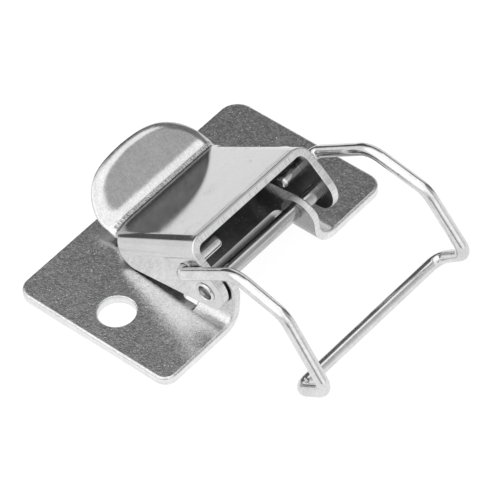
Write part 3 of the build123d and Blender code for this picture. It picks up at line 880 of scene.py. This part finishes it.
def lever_tab():
    """Thumb tab: fine even grain, crowned rim, and a coined strip of small ribs beside the crease."""
    s = Steel("lever_tab")
    u, v, _ = s.split(s.blank)
    a = s.calc("MULTIPLY", u, 100.0)
    b = s.calc("MULTIPLY", v, 100.0)
    fine = s.noise(s.here, 3300, 1.0, 0.6)
    mid = s.noise(s.here, 1300, 2.0, 0.6)
    cloud = s.noise(s.here, 180, 2.0, 0.5)
    grain = s.calc("ADD", s.calc("MULTIPLY", fine, 0.6), s.calc("MULTIPLY", mid, 0.4))
    strip = s.band(a, -0.94, -0.14, 0.05)
    strip = s.calc("MULTIPLY", strip, s.band(b, -11.0, 12.9, 0.3))
    wave = s.calc("SINE", s.calc("MULTIPLY", s.calc("ADD", b, s.calc("MULTIPLY", mid, 1.1)), 2 * math.pi / 0.42))
    wave = s.span(wave, -1.0, 1.0, smooth=False)
    ribs = s.calc("MULTIPLY", strip, wave)
    scratch = s.hairlines(s.blank, 160, (15, 60, 120), 0.015, 0.64, 5.0)
    tone = s.span(grain, 0.36, 0.64, 0.56, 0.68, smooth=False)
    tone = s.calc("MULTIPLY", tone, s.span(cloud, 0.3, 0.7, 0.96, 1.04))
    tone = s.calc("SUBTRACT", tone, s.calc("MULTIPLY", scratch, 0.12))
    # painted shade and highlight: the tone follows the rib wave, dark in the grooves and light on the crests, over a
    # coined grain
    coined_grain_and_painted_rib_shading = s.calc("ADD", s.blend(wave, 0.30, 0.66), s.span(fine, 0.3, 0.7, -0.14, 0.14))
    tone = s.blend(strip, tone, coined_grain_and_painted_rib_shading)
    # painted shade: darker along the crease
    painted_crease_shade = s.span(s.calc("ABSOLUTE", s.calc("ADD", a, 0.05)), 0.17, 0.09)
    tone = s.calc("MULTIPLY", tone, s.span(painted_crease_shade, 0.0, 1.0, 1.0, 0.22))
    rough = s.blend(strip, s.span(mid, 0.3, 0.7, 0.13, 0.19), 0.45)
    normal = s.relief(grain, 0.00003, 0.35)
    normal = s.relief(ribs, 0.00003, 0.5, normal)
    return s.finish(tone, rough, normal)


def lever_cut():
    """Sheared edge of the blank: short streaks across the sheet's thickness."""
    s = Steel("lever_cut")
    streak = s.noise(s.turn(s.blank, (480, 40, 1)), 1.0, 2.0, 0.65)
    fine = s.noise(s.turn(s.blank, (900, 120, 1)), 1.0, 1.0, 0.5)
    both = s.calc("ADD", s.calc("MULTIPLY", streak, 0.7), s.calc("MULTIPLY", fine, 0.3))
    tone = s.span(both, 0.34, 0.66, 0.54, 0.82, smooth=False)
    rough = s.span(streak, 0.3, 0.7, 0.26, 0.4)
    normal = s.relief(both, 0.00008, 0.5)
    return s.finish(tone, rough, normal)


def lever_inside_painted_dark():
    """Inner skin: fairly rough, with drawing marks; its tone is painted dark as shade."""
    s = Steel("lever_inside_painted_dark")
    cloud = s.noise(s.here, 300, 3.0, 0.6)
    fine = s.noise(s.here, 2500, 1.0, 0.5)
    # painted shade: the inner skin's tone is kept at 0.18 to 0.25
    tone = s.calc("MULTIPLY", s.span(cloud, 0.3, 0.7, 0.18, 0.25), s.span(fine, 0.3, 0.7, 0.92, 1.08))
    u, v, _ = s.split(s.blank)
    tone = s.calc("MULTIPLY", tone, s.span(u, 0.004, -0.006, 1.0, 2.5))     # the painted shade is lighter under the tab
    normal = s.relief(fine, 0.00005, 0.3)
    return s.finish(tone, s.span(cloud, 0.3, 0.7, 0.28, 0.38), normal)


PIN_X, PIN_Z = 0.01235, 0.00712


def pin_steel():
    """Turned pin: fine rings round its axis on the ends, faint lines along the shank."""
    s = Steel("pin_steel")
    x, y, z = s.split(s.here)
    dx = s.calc("SUBTRACT", x, PIN_X)
    dz = s.calc("SUBTRACT", z, PIN_Z)
    radius = s.calc("SQRT", s.calc("ADD", s.calc("MULTIPLY", dx, dx), s.calc("MULTIPLY", dz, dz)))
    turned = s.calc("SINE", s.calc("MULTIPLY", radius, 2 * math.pi / 0.00022))
    ends = s.calc("MAXIMUM", s.span(y, -0.0112, -0.0116), s.span(y, 0.0152, 0.0156))
    lines = s.noise(s.turn(s.here, (2600, 110, 2600)), 1.0, 2.0, 0.6)
    fine = s.noise(s.here, 2600, 1.0, 0.5)
    tone = s.span(lines, 0.3, 0.7, 0.40, 0.56)
    tone = s.calc("MULTIPLY", tone, s.span(fine, 0.3, 0.7, 0.95, 1.05))
    # painted shade: a dark ring near the rim of each pin end and a darker centre, standing in for the shade of the
    # hollow end
    end_painted_ring_shade = s.calc("MULTIPLY", s.span(s.calc("ABSOLUTE", s.calc("SUBTRACT", radius, 0.00118)), 0.00022, 0.00008, 0.66, 0.30), s.span(radius, 0.0009, 0.0007, 1.0, 0.8))
    tone = s.blend(ends, tone, end_painted_ring_shade)
    normal = s.relief(lines, 0.00003, 0.35)
    normal = s.relief(s.calc("MULTIPLY", turned, ends), 0.00001, 0.5, normal)
    return s.finish(tone, s.span(lines, 0.3, 0.7, 0.12, 0.22), normal)


def wire_steel():
    """Drawn wire: bright, with faint patches of wear and small nicks scattered along it."""
    s = Steel("wire_steel")
    cloud = s.noise(s.here, 260, 3.0, 0.6)
    fine = s.noise(s.here, 2400, 2.0, 0.6)
    nick = s.calc("MULTIPLY", s.span(s.cells(s.here, 420), 0.16, 0.05), s.span(s.noise(s.here, 130, 1.0), 0.5, 0.62))
    tone = s.calc("MULTIPLY", s.span(cloud, 0.3, 0.7, 0.60, 0.70), s.span(fine, 0.3, 0.7, 0.93, 1.07))
    tone = s.calc("SUBTRACT", tone, s.calc("MULTIPLY", nick, 0.25))
    normal = s.relief(fine, 0.00002, 0.35)
    normal = s.relief(nick, 0.00002, 0.5, normal)
    return s.finish(tone, s.span(cloud, 0.3, 0.7, 0.10, 0.18), normal)


for name, mat in (("base_plate", plate_steel()), ("pivot_pin", pin_steel()), ("wire_bail", wire_steel())):
    mesh = NODES[name].data
    mesh.materials.clear()
    mesh.materials.append(mat)

lever = make_piece(
    "lever_folded", lever_v, lever_n, lever_f, lever_m,
    [lever_skin(), lever_tab(), lever_cut(), lever_inside_painted_dark()],
    lever_uv,
)
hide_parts("lever")
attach(lever, "lever_arm")
